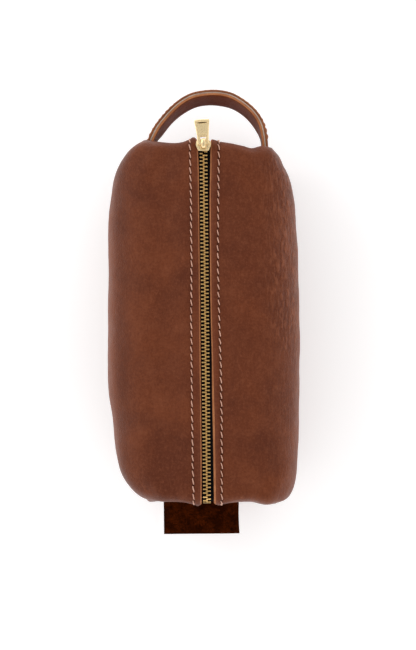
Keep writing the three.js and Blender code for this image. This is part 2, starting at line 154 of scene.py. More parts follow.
# ---------------------------------------------------------------- materials
class Mat:
    """A Principled material whose textures follow the "rest" position of each point."""

    def __init__(self, name, **sockets):
        self.material = bpy.data.materials.new(name)
        self.material.use_nodes = True
        self.tree = self.material.node_tree
        self.shader = self.tree.nodes["Principled BSDF"]
        self.rest = self.node("Attribute", attribute_name="rest").outputs["Vector"]
        self.set(**sockets)

    def set(self, **sockets):
        for name, value in sockets.items():
            self.feed(self.shader.inputs[name.replace("_", " ")], value)

    def feed(self, socket, value):
        if isinstance(value, bpy.types.NodeSocket):
            self.tree.links.new(value, socket)
        elif socket.type == "RGBA":
            socket.default_value = tuple(value)[:3] + (1.0,)
        else:
            socket.default_value = value

    def node(self, kind, inputs=(), **attributes):
        n = self.tree.nodes.new("ShaderNode" + kind)
        for key, value in attributes.items():
            setattr(n, key, value)
        for key, value in dict(inputs).items():
            self.feed(n.inputs[key], value)
        return n

    def math(self, op, a, b=0.0):
        return self.node("Math", {0: a, 1: b}, operation=op).outputs[0]

    def stretch(self, scale, turn=(0, 0, 0)):
        return self.node("Mapping", {"Vector": self.rest, "Scale": scale, "Rotation": turn}).outputs[0]

    def noise(self, scale, detail=3.0, rough=0.55, at=None, warp=0.0):
        return self.node("TexNoise", {"Vector": at or self.rest, "Scale": scale, "Detail": detail,
                                      "Roughness": rough, "Distortion": warp}).outputs["Fac"]

    def wave(self, turn, scale, warp):
        at = self.stretch((1, 1, 1), (0, 0, turn))
        return self.node("TexWave", {"Vector": at, "Scale": scale, "Distortion": warp},
                         wave_type="BANDS").outputs["Fac"]

    def band(self, value, low, high, to=(0.0, 1.0)):
        return self.node("MapRange", {"Value": value, "From Min": low, "From Max": high,
                                      "To Min": to[0], "To Max": to[1]}).outputs["Result"]

    def mix(self, factor, a, b):
        n = self.node("Mix", data_type="RGBA")
        self.feed(n.inputs[0], factor)
        self.feed(n.inputs[6], a)
        self.feed(n.inputs[7], b)
        return n.outputs[2]

    def bump(self, *layers):
        """layers: (height, distance in mm, strength)"""
        normal = None
        for height, distance, strength in layers:
            n = self.node("Bump", {"Height": height, "Distance": distance * MM, "Strength": strength})
            if normal is not None:
                self.tree.links.new(normal, n.inputs["Normal"])
            normal = n.outputs["Normal"]
        self.set(Normal=normal)

    def attribute(self, name):
        return self.node("Attribute", attribute_name=name).outputs["Fac"]

    def along(self, axis):
        """Rest position along X, Y or Z."""
        return self.node("SeparateXYZ", {0: self.rest}).outputs["XYZ".index(axis)]


def srgb(r, g, b):
    return tuple(((c / 255) / 12.92 if c / 255 <= 0.04045 else ((c / 255 + 0.055) / 1.055) ** 2.4)
                 for c in (r, g, b))


def toned(colour, factor):
    return tuple(c * factor for c in colour)


def needle_holes(m, colour):
    """Paints the needle holes as near-black spots where the thread goes down, between one stitch and the
    next: painted shade in place of modelled holes.
    """
    cycle = m.math("FRACT", m.math("DIVIDE", m.math("ADD", m.along("Y"), 50 * STITCH), STITCH))
    step = m.math("ABSOLUTE", m.math("SUBTRACT", cycle, 0.5))
    off = m.math("ABSOLUTE", m.attribute("seam"))
    hole = m.math("MULTIPLY", m.band(off, 0.8, 0.3), m.band(step, 0.40, 0.46))
    hole = m.math("MULTIPLY", hole, m.band(m.along("Z"), 60.0, 62.0))
    return m.mix(m.math("MULTIPLY", hole, 0.9), colour, (0.006, 0.002, 0.001))


def grain_leather(name, base, light, dark, sewn=False, gloss=0.14):
    m = Mat(name, Specular_IOR_Level=gloss, Specular_Tint=(1.0, 0.70, 0.52))
    cells = m.node("TexVoronoi", {"Vector": m.rest, "Scale": 0.62, "Randomness": 1.0},
                   feature="DISTANCE_TO_EDGE").outputs["Distance"]
    pebble = m.band(cells, 0.0, 0.25)
    pores = m.noise(0.62, 5, 0.66)
    fine = m.noise(3.2, 4)
    broad = m.noise(0.02, 4, 0.6, warp=0.6)
    patch = m.noise(0.07, 5, 0.6)
    streak = m.noise(0.05, 4, 0.6, at=m.stretch((1.0, 0.22, 1.0), (0, 0, 0.35)))
    colour = m.mix(m.band(broad, 0.36, 0.62), dark, base)
    colour = m.mix(m.band(patch, 0.52, 0.85, (0.0, 0.3)), colour, light)
    colour = m.mix(m.band(streak, 0.56, 0.82, (0.0, 0.3)), colour, dark)
    colour = m.mix(m.band(pores, 0.5, 0.75, (0.0, 0.32)), colour, light)
    colour = m.mix(m.band(pores, 0.5, 0.25, (0.0, 0.45)), colour, toned(dark, 0.7))
    colour = m.mix(m.band(pebble, 0.0, 0.45, (0.25, 0.0)), colour, dark)
    mottle = m.noise(0.2, 5, 0.62, warp=0.5)
    colour = m.mix(m.band(mottle, 0.52, 0.72, (0.0, 0.16)), colour, light)
    colour = m.mix(m.band(mottle, 0.48, 0.30, (0.0, 0.22)), colour, dark)
    scuff = m.noise(0.34, 6, 0.72, at=m.stretch((1.0, 0.55, 1.0), (0, 0, 0.9)))
    spread = m.noise(0.03, 2)
    scuffed = m.math("MULTIPLY", m.band(scuff, 0.58, 0.72, (0.0, 0.5)), m.band(spread, 0.5, 0.65))
    colour = m.mix(scuffed, colour, light)
    # painted shade from the shade attribute: by the left fold, the stitches, the end seams and the strap's
    # feet
    colour = m.mix(m.math("MULTIPLY", m.attribute("shade"), 0.75), colour, toned(dark, 0.72))
    # lighter where the leather is rubbed, plus painted sheen along the folds and the slot's edge
    colour = m.mix(m.math("MULTIPLY", m.attribute("wear"), 0.4), colour, light)
    wrinkle = m.noise(0.55, 4, 0.6, at=m.stretch((1, 0.35, 1), (0, 0, 0.3)))
    layers = [(broad, 1.6, 0.5), (patch, 0.9, 0.4), (pebble, 0.16, 0.7), (pores, 0.22, 0.6),
              (fine, 0.04, 0.4), (wrinkle, 0.25, 0.45)]
    if sewn:
        # painted shade for the needle holes
        colour = needle_holes(m, colour)
        lines = m.noise(0.55, 4, 0.6, at=m.stretch((1.0, 0.28, 0.5), (0, 0, 0.45)), warp=0.4)
        creased = m.attribute("crease")
        layers.append((m.math("MULTIPLY", lines, creased), 1.6, 1.0))
        # painted shade in the crease valleys and painted highlight on their ridges
        for low, high, tone in ((0.5, 0.3, dark), (0.5, 0.7, toned(light, 1.15))):
            depth = m.math("MULTIPLY", m.band(lines, low, high), m.math("MULTIPLY", creased, 0.6))
            colour = m.mix(depth, colour, tone)
    uneven = m.math("ADD", patch, m.math("MULTIPLY", fine, 0.35))
    m.set(Base_Color=colour, Roughness=m.band(uneven, 0.35, 1.0, (0.36, 0.54)))
    m.bump(*layers)
    return m.material


def raw_leather(name, base, dark, scale, bare=False):
    m = Mat(name, Roughness=0.95, Specular_IOR_Level=0.0 if bare else 0.12,
            Sheen_Weight=0.0 if bare else 0.03, Sheen_Roughness=0.8)
    fibre = m.noise(scale, 7, 0.75, warp=1.2)
    hair = m.noise(scale * 1.6, 5, 0.7, at=m.stretch((1, 0.3, 1), (0, 0, 0.8)))
    colour = m.mix(m.band(fibre, 0.35, 0.68), dark, base)
    colour = m.mix(m.band(hair, 0.62, 0.75, (0.0, 0.5)), colour, base)
    colour = m.mix(m.band(m.noise(0.12, 4, 0.65), 0.42, 0.6, (0.0, 0.7)), colour, dark)
    m.set(Base_Color=colour)
    m.bump((fibre, 0.5, 0.8), (hair, 0.25, 0.5))
    return m.material


def brass(name, colour, rough, deep=False):
    m = Mat(name, Metallic=1.0, Specular_IOR_Level=0.5)
    cloud = m.noise(0.5, 4)
    scratch = m.noise(4.0, 4, 0.7, at=m.stretch((1, 0.15, 1), (0, 0, 0.4)))
    shown = m.mix(m.band(cloud, 0.4, 0.7, (0.0, 0.35)), colour, toned(colour, 0.8))
    if deep:                                           # painted shade where the chain sinks between the lips, darkest just below them and fainter further down
        high = m.along("Z")
        bend = m.math("MULTIPLY", m.band(high, 104.5, 102.0), m.band(high, 90.0, 99.0, (0.3, 1.0)))
        shown = m.mix(m.math("MULTIPLY", bend, 0.7), shown, (0.08, 0.045, 0.018))
    m.set(Base_Color=shown,
          Roughness=m.band(scratch, 0.3, 0.75, (rough - 0.06, rough + 0.14)))
    m.bump((scratch, 0.02, 0.4), (cloud, 0.05, 0.25))
    return m.material


def woven(name, colour, light):
    m = Mat(name, Roughness=0.95, Specular_IOR_Level=0.05)
    warp = m.wave(0.78, 0.55, 0.4)
    weft = m.wave(-0.78, 0.55, 0.4)
    weave = m.math("MULTIPLY", warp, weft)
    m.set(Base_Color=m.mix(weave, colour, light))
    m.bump((weave, 0.15, 0.8))
    return m.material


def thread_material(name, colour, dark):
    m = Mat(name, Roughness=0.62, Specular_IOR_Level=0.35, Sheen_Weight=0.25)
    ply = m.wave(0.95, 0.8, 0.6)
    groove_shade_spread = m.noise(0.3, 3)
    # painted shade in the grooves between the plies, deeper in some places than others
    depth = m.math("MULTIPLY", m.band(ply, 0.55, 0.0), m.band(groove_shade_spread, 0.3, 0.7, (0.2, 0.75)))
    m.set(Base_Color=m.mix(depth, colour, dark))
    m.bump((ply, 0.12, 0.7))
    return m.material


LEATHER = grain_leather("hide_grain", srgb(102, 51, 30), srgb(134, 78, 54), srgb(84, 40, 25), sewn=True)
STRAP = grain_leather("strap_grain", srgb(134, 62, 30), srgb(152, 88, 50), srgb(108, 48, 24), gloss=0.04)
FLESH = raw_leather("hide_flesh", srgb(140, 88, 54), srgb(96, 56, 32), 0.9)
EDGE = raw_leather("cut_edge", srgb(200, 134, 88), srgb(150, 90, 54), 2.2)
EDGE_DARK = raw_leather("strap_edge", srgb(166, 104, 66), srgb(110, 60, 34), 2.2)
EDGE_PALE = raw_leather("strap_core", srgb(236, 224, 210), srgb(196, 178, 160), 2.4)
SUEDE = raw_leather("tab_flesh", srgb(84, 32, 6), srgb(24, 6, 1), 0.6, bare=True)
TAB_EDGE = raw_leather("tab_edge", srgb(104, 56, 32), srgb(58, 26, 12), 2.0)
BRASS = brass("brass_teeth", (0.78, 0.50, 0.19), 0.3, deep=True)
BRASS_PALE = brass("brass_slider", (0.95, 0.74, 0.42), 0.27)
# dark brass of the pull's recess floor: painted shade
BRASS_DARK = brass("brass_recess", (0.16, 0.11, 0.05), 0.5)
TAPE = woven("zip_tape_weave", (0.0025, 0.0025, 0.003), (0.008, 0.008, 0.009))
THREAD = thread_material("zip_thread", srgb(216, 166, 142), srgb(150, 94, 74))
THREAD_DARK = thread_material("handle_thread", srgb(176, 116, 78), srgb(110, 64, 40))

# ---------------------------------------------------------------- the hide
# Half widths along the bag, then the line of each end, seen from above. Left is -X.
WIDE = {
    -1: through([(-126, 43), (-123, 47.5), (-118, 53), (-111, 58), (-100, 62), (-73, 66.2), (-45, 68.6),
                 (0, 69.0), (40, 68.6), (66, 67.6), (86, 65.6), (100, 63.4), (114, 58.8), (121, 53.5),
                 (126, 44.5)]),
    1: through([(-126, 51), (-123, 56.5), (-113, 61.8), (-100, 64.2), (-60, 66.0), (0, 67.0), (37, 66.2),
                (65, 64.8), (86, 63.6), (100, 61.2), (113, 57.0), (121, 54.4), (126, 50.5)]),
}
ENDS = {
    1: through([(-60, 122.5), (-47, 124.4), (-40, 125.2), (-27, 123.0), (-20, 122.6), (-13, 123.4),
                (-9.5, 125.0), (-6, 126.3), (5, 125.8), (9, 123.6), (13, 122.8), (20, 122.2), (26, 120.4),
                (33, 119.0), (42, 119.6), (47, 120.0), (60, 119.6)]),
    -1: through([(-60, 122.6), (-46, 122.9), (-38, 123.1), (-20, 122.9), (-11, 124.0), (-5, 125.6),
                 (5, 125.5), (12, 124.3), (26, 123.4), (37, 124.3), (45, 126.1), (52, 126.5), (60, 125.2)]),
}
# Distance from the zip's middle to the leather's upper edge, and to the line of stitches.
SLOT = {
    -1: through([(-127, 4.6), (-112, 4.3), (-90, 4.1), (100, 4.1), (118, 4.6), (127, 5.4)]),
    1: through([(-127, 6.2), (-112, 6.1), (-80, 5.9), (-30, 5.2), (20, 4.5), (80, 4.6), (105, 5.3),
                (118, 5.6), (127, 6.3)]),
}
SEWN = {
    -1: through([(-127, 9.0), (-80, 9.5), (0, 9.5), (45, 8.9), (110, 9.1), (127, 9.4)]),
    1: through([(-127, 9.9), (-80, 10.4), (-40, 10.3), (0, 9.6), (40, 9.1), (80, 9.6), (110, 10.3),
                (127, 10.4)]),
}
# Columns of the panel's grid: fixed ones by the zip, then top, side, lower side and base.
SLOT_START = 4.3
FIXED = [0.0, 0.5, 1.2, 2.3, 3.5, 4.4, 5.0, 5.6, 6.5, 8.0, 10.0, 12.7]
SETTLE = 5.3                            # beyond this from the slot edge, the columns ignore the slot's width
N_TOP, N_SIDE, N_LOW, N_BASE = 17, 14, 13, 16
R_TOP, R_LOW = 7.0, 9.0                 # rounding where the top and the base meet the end walls


def section(wide, high, low, slot, n_top, n_low=4.6):
    """Half cross-section: slot edge, top, side, base, to the centre of the base."""
    fixed = np.array(FIXED)
    xf = fixed + SLOT_START
    xf = xf + (slot - SLOT_START) * np.clip(1 - fixed / SETTLE, 0, 1)
    a_last = xf[-1] / wide
    a = np.concatenate([xf / wide, a_last + (1 - a_last) * np.linspace(0, 1, N_TOP)[1:]])
    b = np.ones_like(a)
    a = np.concatenate([a, np.ones(N_SIDE - 1)])
    b = np.concatenate([b, np.linspace(1, 0, N_SIDE)[1:]])
    k = (a ** n_top + b ** n_top) ** (-1 / n_top)
    x_up, z_up = wide * a * k, b * k
    a2 = np.concatenate([np.ones(N_LOW - 1), np.linspace(1, 0, N_BASE)[1:]])
    b2 = np.concatenate([np.linspace(0, 1, N_LOW)[1:], np.ones(N_BASE - 1)])
    k2 = (a2 ** n_low + b2 ** n_low) ** (-1 / n_low)
    x = np.concatenate([x_up, wide * a2 * k2])
    z = np.concatenate([MID + (high - MID) * z_up, MID - (MID - low) * b2 * k2])
    x[:len(FIXED)] = xf
    return x, z


def quarter(side, end):
    """Outer surface of a quarter of the hide, from the middle of the bag to one end seam."""
    rows = []
    for y in np.linspace(0, END - R_TOP, 58):
        rows.append((y, 0.0, 0.0))
    for a in np.linspace(0, math.pi / 2, 9)[1:]:
        rows.append((END - R_TOP + R_TOP * math.sin(a), a, 0.0))
    for t in np.linspace(0, 1, 15)[1:]:
        rows.append((END, math.pi / 2, t))
    X, Y, Z = [], [], []
    for y, a, t in rows:
        wide = float(WIDE[side](end * y))
        slot = float(SLOT[side](end * min(y, 126)))
        high = TOP - R_TOP * (1 - math.cos(a))
        low = R_LOW * (1 - math.cos(a))
        x, z = section(wide, high, low, slot, 3.1 + 0.9 * float(smooth((y - 60) / 60)))
        if t > 0:
            z = SEAM + (z - SEAM) * (1 - t) + (z - MID > 0) * 1.1 * t - (z - MID <= 0) * 1.1 * t
            x = x * (1 - 0.07 * t * smooth((x - 12) / 20))
        X.append(x)
        Z.append(z)
        bulge = 1.3 * math.sin(math.pi * t) + 2.2 * float(smooth(t * 1.4)) - 1.2 * t ** 6
        Y.append(np.full_like(x, y + bulge))
    X, Y, Z = np.array(X), np.array(Y), np.array(Z)
    # the last ring turns in, so the seam is two rolled edges pressed together
    X = np.vstack([X, X[-1] * 0.985])
    Y = np.vstack([Y, Y[-1] - 1.6])
    Z = np.vstack([Z, np.full_like(Z[-1], SEAM)])
    X = X * side
    Y = end * (Y + (ENDS[end](X) - END) * smooth((Y - 92) / (END - 92)))
    return X, Y, Z


def normals(P, side):
    n = np.cross(np.gradient(P, axis=1), np.gradient(P, axis=0))
    n /= np.linalg.norm(n, axis=2, keepdims=True) + 1e-9
    return n * side


def shaped(side):
    """Outer surface of one side of the bag, from the tab-end seam to the handle-end seam."""
    back, front = quarter(side, -1), quarter(side, 1)
    P = np.stack([np.concatenate([b[::-1][:-1], f]) for b, f in zip(back, front)], axis=2)
    X, Y, Z = P[..., 0], P[..., 1], P[..., 2]
    n = normals(P, side)
    ax, ay = np.abs(X), np.abs(Y)
    up = smooth((Z - 58) / 14)                         # 0 on the lower half
    top = smooth((Z - 96) / 8)
    seam = ax - SEWN[side](Y)
    d = ax - ax[:, :1]                                 # distance from the slot edge
    lift = up * (-0.75 * np.exp(-(d / 0.9) ** 2) + 0.35 * hump(d, 2.7, 1.2))
    pucker = np.cos(2 * math.pi * Y / STITCH)
    lift -= up * 0.5 * hump(seam, 0, 0.8) * (0.75 + 0.25 * pucker)
    pucker = np.cos(2 * math.pi * Y / STITCH + 0.8)
    lift += up * 0.3 * hump(seam, 2.6, 1.8) * (0.8 + 0.2 * pucker)
    body = smooth((ax - 12) / 10)
    mid = 1 - smooth((ay - 85) / 35)
    lift -= body * top * 1.3 * hump(ax, 28, 12) * (0.6 + 0.4 * mid)     # the panel sags between zip and fold
    lift += body * 0.55 * ripple(X, Y, Z, 105, 3)
    lift += body * 0.32 * ripple(X, Y, Z, 38, 5)
    lift += body * 0.10 * ripple(X, Y, Z, 13, 6)
    side_wall = smooth((ax - 52) / 8) * smooth((Z - 6) / 14)
    lift += side_wall * 0.35 * ripple(X * 0.4, Y, Z * 0.5, 60, 11)
    # folds that run from each boxed corner along the top edge and down the wall
    corner = hump(ay, 119, 15) * smooth((ax - 22) / 16)
    lift += corner * 0.7 * np.sin(0.34 * (ax - 0.55 * (126 - ay)) + 0.8 * side) * up
    # fine creases by the right edge
    crease = smooth((X - 46) / 10) * smooth((Z - 60) / 20) * smooth((Y + 30) / 30)
    lift += crease * 0.22 * np.sin(1.15 * Y + 2.2 * np.sin(0.08 * Y) + 0.12 * X) * ripple(X, Y, Z, 30, 9)
    # the end walls are drawn in beside the zip's end
    wall = smooth((ay - 120) / 4)
    lift -= wall * 0.8 * hump(ax, 24, 10) * hump(Z, 72, 26)
    P = P + n * lift[..., None]
    P[..., 2] = np.maximum(P[..., 2], 0.0)
    return P, normals(P, side)


def inner_wall(P, n, side, end):
    """Flesh side of the leather: a little thinner by the zip, and much thinner at the end seam."""
    thick = np.full(P.shape[:2], HIDE)
    thick[:, 0], thick[:, 1] = 1.5, 1.7
    thick[::end][-5:] *= np.array([1.0, 0.8, 0.6, 0.45, 0.35])[:, None]
    # near the seam it is drawn towards a point inside the end, so that no corner pokes out
    heart = P - np.array([side * 18.0, end * 98.0, SEAM])
    heart /= np.linalg.norm(heart, axis=2, keepdims=True)
    turn = np.clip(np.linspace(0.0, 2.0, 18), 0, 1)[:, None, None]
    inward = n.copy()
    by_seam = inward[::end][-18:]
    by_seam[:] = by_seam * (1 - turn) + heart[::end][-18:] * turn
    inner = P - inward * thick[..., None]
    # the cut edge is bevelled: the flesh side reaches further towards the zip
    bevel = 0.85 + (0.5 * smooth((-P[:, 0, 1] - 20) / 40) if side > 0 else 0)
    reach = np.abs(P[:, 0, 0]) - bevel
    for column, more in ((0, 0), (1, 0.9), (2, 1.8)):
        flush = np.abs(inner[:, column, 0])
        inner[:, column, 0] = side * (reach + more if column < 2 else np.maximum(flush, reach + more))
    inner[..., 2] = np.maximum(inner[..., 2], 1.4)
    return inner


def panel_faces(rows, cols, side):
    """Faces of a closed panel, the outer grid first and then the inner, with grain, flesh and cut edge."""
    count = rows * cols
    faces, index = [], []

    def quad(a, b, c, d, m):
        faces.append([a, b, c, d] if side > 0 else [d, c, b, a])
        index.append(m)
    for r in range(rows - 1):
        for c in range(cols - 1):
            i = r * cols + c
            quad(i, i + 1, i + cols + 1, i + cols, 0)
            quad(count + i, count + i + cols, count + i + cols + 1, count + i + 1, 1)
    for r in range(rows - 1):
        i = r * cols
        quad(i, i + cols, count + i + cols, count + i, 2)
        i = r * cols + cols - 1
        quad(i, count + i, count + i + cols, i + cols, 1)
    for c in range(cols - 1):
        i = (rows - 1) * cols + c
        quad(i, i + 1, count + i + 1, count + i, 1)
        quad(c + 1, c, count + c, count + c + 1, 1)
    return faces, index


def share_normals(obj, points, faces, index, n):
    """Shades both sides from the whole surface's normals, so that no line shows where the halves meet."""
    count = len(n)
    loops = []
    for f, m in zip(faces, index):
        if m == 0:
            loops += [n[v] for v in f]
        elif m == 1 and min(f) >= count:
            loops += [-n[v - count] for v in f]
        else:
            q = np.cross(points[f[2]] - points[f[0]], points[f[3]] - points[f[1]])
            loops += [q / (np.linalg.norm(q) + 1e-12)] * 4
    obj.data.normals_split_custom_set([tuple(v) for v in loops])


def mark_leather(obj, points, edge_x, side):
    """Writes where the leather is rubbed and where painted sheen lightens it, where painted shade darkens
    it, where it is creased, and how far each point is from the stitches.
    """
    x, y, z = points[:, 0], points[:, 1], points[:, 2]
    ax, ay = np.abs(x), np.abs(y)
    seam = ax - SEWN[side](y)
    # painted sheen along both folds, rubbed and lighter leather on the right, lighter leather by the end
    # corners, and a painted highlight along the slot's raised edge
    wear = 0.9 * smooth((ax - 60) / 7) * smooth((z - 40) / 30)
    wear += 0.3 * smooth((x - 50) / 12) * smooth((z - 60) / 20)
    wear += 0.55 * hump(ay, 123, 3.5) * hump(ax, 44, 7) * smooth((z - 50) / 30)
    wear += 0.25 * hump(ax, edge_x + 0.6, 0.7) * smooth((z - 70) / 10)
    crease = 0.12 + smooth((x - 34) / 24) * smooth((z - 50) / 25) * (0.25 + 0.75 * smooth((y + 40) / 40))
    # painted shade just inside the left fold, along the stitches and along the end seams
    shade = 0.5 * hump(x, -57, 5) * smooth((z - 80) / 12) + 0.6 * hump(seam, 0, 1.1) * smooth((z - 60) / 20)
    shade += 0.5 * hump(z, SEAM, 1.4) * smooth((ay - 118) / 6)
    for key, value in (("wear", wear), ("shade", shade), ("seam", seam), ("crease", crease)):
        data = obj.data.attributes.new(key, "FLOAT", "POINT")
        data.data.foreach_set("value", np.clip(value, -30, 30).astype(np.float32))


def skin(side, end, whole, whole_normals):
    """One half of a side's panel, as a closed solid."""
    middle = (whole.shape[0] - 1) // 2
    keep = slice(middle, None) if end > 0 else slice(0, middle + 1)
    P, n = whole[keep], whole_normals[keep]
    rows, cols = P.shape[:2]
    points = np.concatenate([P.reshape(-1, 3), inner_wall(P, n, side, end).reshape(-1, 3)])
    faces, index = panel_faces(rows, cols, side)
    obj = new_mesh(f"hide_{SIDE_NAME[side]}_{END_NAME[end]}", points, faces, [LEATHER, FLESH, EDGE], index,
                   check=False)
    share_normals(obj, points, faces, index, n.reshape(-1, 3))
    edge_x = np.concatenate([np.abs(P[:, :1, 0]).repeat(cols, 1).ravel()] * 2)
    mark_leather(obj, points, edge_x, side)
    return obj, P, n


def open_with_flap(obj):
    """Bakes the object's placement into its mesh."""
    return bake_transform(obj)


SIDE_NAME, END_NAME = {-1: "left", 1: "right"}, {1: "handle_end", -1: "tab_end"}
QUARTERS = [(side, end) for side in (-1, 1) for end in (1, -1)]
surface = {}                            # grain side of each quarter, from the middle of the bag outwards
for side in (-1, 1):
    whole, whole_normals = shaped(side)
    for end in (1, -1):
        obj, P, n = skin(side, end, whole, whole_normals)
        surface[side, end] = (P[::end], n[::end])
        open_with_flap(obj)
        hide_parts("hide_lower_shell", f"hide_top_{SIDE_NAME[side]}")


# ---------------------------------------------------------------- top stitching
THREAD_R = 0.38


def capsule(parts, path, normal, across, radius, sides=8):
    """A thread lying along a short path: round in section, drawn in at both ends."""
    rings = []
    for i, p in enumerate(path):
        f = min(max(i / (len(path) - 1), 0.06), 0.94)
        r = radius * (0.62 + 0.38 * math.sin(math.pi * f) ** 0.6)
        ring = []
        for k in range(sides):
            a = 2 * math.pi * k / sides
            ring.append(p + across[i] * (r * math.cos(a)) + normal[i] * (0.85 * r * math.sin(a)))
        rings.append(ring)
    parts.rings(rings)


def top_stitches(side, end):
    """The row of stitches beside the zip, each one slanted and a little off the line."""
    P, n = surface[side, end]
    column = FIXED.index(5.0)                          # SLOT_START + 5.0 is nearest the stitch line
    line, up = P[:-2, column], n[:-2, column]
    s = np.concatenate([[0], np.cumsum(np.linalg.norm(np.diff(line, axis=0), axis=1))])

    def at(v):
        p = np.array([np.interp(v, s, line[:, k]) for k in range(3)])
        m = np.array([np.interp(v, s, up[:, k]) for k in range(3)])
        return p, m / np.linalg.norm(m)

    parts = Parts()
    rng = np.random.default_rng(20 + side + 3 * end)
    gap = 0.55 if side > 0 else 0.32                   # from the end of a stitch to its needle hole
    for i in range(int(s[-1] / STITCH)):
        a, b = i * STITCH + gap, (i + 1) * STITCH - gap
        slant = rng.uniform(0.42, 0.62)
        offset = rng.normal(0, 0.08)
        path, normal, across = [], [], []
        for f in np.linspace(0, 1, 9):
            p, m = at(a + (b - a) * f)
            q, _ = at(a + (b - a) * f + 0.3)
            run = q - p
            run /= np.linalg.norm(run)
            cross = np.cross(run, m)
            cross /= np.linalg.norm(cross)
            to_line = (float(SEWN[side](p[1])) - abs(p[0])) * side
            shift = to_line - end * (f - 0.5) * 2 * slant + offset
            rise = 0.62 * math.sin(math.pi * f) ** 0.55 - 0.22
            path.append(p + np.array([shift, 0, 0]) + m * rise)
            normal.append(m)
            across.append(cross)
        capsule(parts, path, normal, across, THREAD_R + rng.normal(0, 0.02))
    obj = parts.make(f"zip_stitches_{SIDE_NAME[side]}_{END_NAME[end]}", [THREAD])
    open_with_flap(obj)
    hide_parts(f"stitch_row_{SIDE_NAME[side]}", f"stitch_row_{END_NAME[end]}_{SIDE_NAME[side]}")


for side, end in QUARTERS:
    top_stitches(side, end)


# ---------------------------------------------------------------- the zip
LEAN = math.radians(2.7)                               # the end walls lean out towards the seam
TURN = math.pi / 2 - LEAN
DROP = {end: r * TURN + (ZIP_Z - r - ZIP_FOOT) for end, r in BEND_R.items()}     # length beyond each bend
PITCH = 2.54
# half a tooth seen from above: distance out from the centre line, half width
TOOTH = [(-0.52, 0.30), (-0.40, 0.50), (0.65, 0.54), (0.95, 0.40), (2.2, 0.52), (2.55, 0.50), (2.7, 0.34)]
TOOTH_LEVELS = ((-1.45, 0.16), (-1.22, 0.0), (1.2, 0.0), (1.42, 0.14), (1.47, 0.26))     # height, inset
PEG_LEVELS = ((1.3, 0.34), (1.56, 0.30), (1.68, 0.16))                                   # height, radius
PARKED = (114, 124)                                    # here the slider's post holds the two sides apart
# section of the tape: distance out from the centre line, height; the cord is at its inner edge
TAPE_SECTION = [(1.15, 0.0), (1.3, 0.6), (1.9, 0.85), (2.5, 0.62), (2.9, 0.3), (8, 0.26), (13.6, 0.28),
                (13.6, -0.28), (8, -0.26), (2.9, -0.3), (2.5, -0.62), (1.9, -0.85), (1.3, -0.6)]
TAPE_MEETS = 0.9                                       # length over which the tapes close, below the teeth


def zip_at(s, end):
    """Point, outward normal and direction of the chain, s along it from the middle of the bag."""
    bend, r = BEND_Y[end], BEND_R[end]
    a = min(max((s - bend) / r, 0.0), TURN)
    rest = max(s - bend - r * TURN, 0.0)
    y = min(s, bend) + r * math.sin(a) + rest * math.cos(a)
    z = ZIP_Z - r + r * math.cos(a) - rest * math.sin(a)
    return (np.array([0, end * y, z]), np.array([0, end * math.sin(a), math.cos(a)]),
            np.array([0, end * math.cos(a), -math.sin(a)]))


def zip_teeth(side, end):
    """Teeth of one side, half a pitch out of step with the other, with a small peg on each head."""
    parts = Parts()
    first = 0.35 + (PITCH / 2 if side > 0 else 0)
    s = first if end > 0 else PITCH - first
    while s < BEND_Y[end] + DROP[end] - 1.5:
        p, up, run = zip_at(s, end)
        rim = TOOTH + [(o, -h) for o, h in TOOTH[::-1]]
        if end > 0 and PARKED[0] < s < PARKED[1]:
            rim = [(max(o, 0.55), h) for o, h in rim]
        rings = []
        for z, inset in TOOTH_LEVELS:
            rings.append([p + np.array([side * (o + (inset if o < 0.9 else -inset)), 0, 0])
                          + run * (h - math.copysign(min(inset, abs(h)), h)) + up * z for o, h in rim])
        parts.rings(rings)
        if s < 113:
            rings = []
            for z, r in PEG_LEVELS:
                rings.append([p + np.array([side * (-0.12 + r * math.cos(k * math.pi / 4)), 0, 0])
                              + run * (r * math.sin(k * math.pi / 4)) + up * z for k in range(8)])
            parts.rings(rings)
        s += PITCH
    obj = parts.make(f"zip_teeth_{SIDE_NAME[side]}_{END_NAME[end]}_detail", [BRASS], soft=False)
    open_with_flap(obj)
    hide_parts(f"zip_teeth_{SIDE_NAME[side]}", f"zip_teeth_{END_NAME[end]}_{SIDE_NAME[side]}")


def zip_tape(side, end):
    """Woven strip with a corded edge that the teeth grip; both tapes meet where the seam takes them in."""
    parts = Parts()
    bend, arc = BEND_Y[end], BEND_R[end] * TURN
    foot = bend + DROP[end]
    stations = list(np.linspace(0, bend, 50)) + list(bend + np.linspace(0, arc, 10)[1:])
    stations += list(np.linspace(bend + arc, foot - TAPE_MEETS, 18)[1:])
    stations += [foot - 0.6, foot - 0.3, foot, foot + 2.2, foot + 4.4]
    rings = []
    for s in stations:
        p, up, run = zip_at(s, end)
        away = 2.8 * float(smooth((s - 108) / 12))
        closed = 1.13 * float(smooth((s - foot + TAPE_MEETS) / TAPE_MEETS))
        rings.append([p + np.array([side * (o - closed), 0, 0]) + up * (h - away * smooth((o - 3) / 7))
                      for o, h in TAPE_SECTION])
    parts.rings(rings)
    obj = parts.make(f"zip_tape_{SIDE_NAME[side]}_{END_NAME[end]}_detail", [TAPE])
    open_with_flap(obj)
    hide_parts(f"zip_tape_{SIDE_NAME[side]}", f"zip_tape_{END_NAME[end]}")


for side, end in QUARTERS:
    zip_teeth(side, end)
    zip_tape(side, end)


